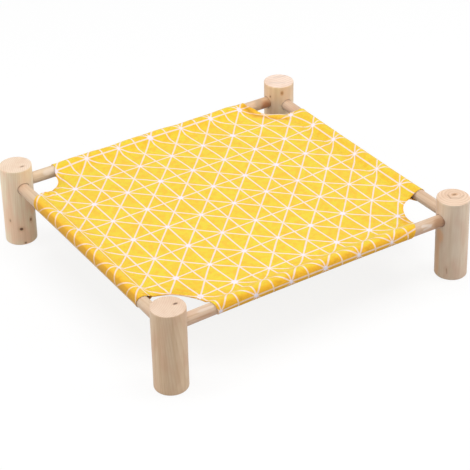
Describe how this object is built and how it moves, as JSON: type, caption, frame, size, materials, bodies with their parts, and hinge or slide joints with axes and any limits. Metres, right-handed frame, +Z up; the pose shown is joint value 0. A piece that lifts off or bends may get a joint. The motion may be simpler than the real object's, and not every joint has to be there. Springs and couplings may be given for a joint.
{
  "type": "elevated cat bed",
  "caption": "Low square hammock bed for a cat: round wooden legs joined by dowel rails, with a printed cotton cover stretched flat between the rails.",
  "frame": {"origin": "on the floor, midway between the four legs", "axes": "+X along the long rails to the right, +Y along the side rails to the back, +Z up"},
  "size_m": [0.456, 0.425, 0.111],
  "materials": {
    "pine_leg": "planed and sanded, unvarnished",
    "pine_rail": "sanded dowel, unvarnished",
    "yellow_cotton": "plain-weave cotton canvas with a cream line print",
    "yellow_thread": "polyester sewing thread, as yellow as the cotton"
  },
  "bodies": {
    "root": {"leg_front_left": "pine_leg", "leg_front_right": "pine_leg", "leg_back_right": "pine_leg", "leg_back_left": "pine_leg", "rail_front": "pine_rail", "rail_right": "pine_rail", "rail_back": "pine_rail", "rail_left": "pine_rail", "cover_panel": "yellow_cotton", "sleeve_front": "yellow_cotton", "sleeve_right": "yellow_cotton", "sleeve_back": "yellow_cotton", "sleeve_left": "yellow_cotton", "corner_hem_front_left": "yellow_cotton", "corner_hem_front_right": "yellow_cotton", "corner_hem_back_right": "yellow_cotton", "corner_hem_back_left": "yellow_cotton", "seam_thread_front": "yellow_thread", "seam_thread_right": "yellow_thread", "seam_thread_back": "yellow_thread", "seam_thread_left": "yellow_thread"}
  },
  "joints": []
}
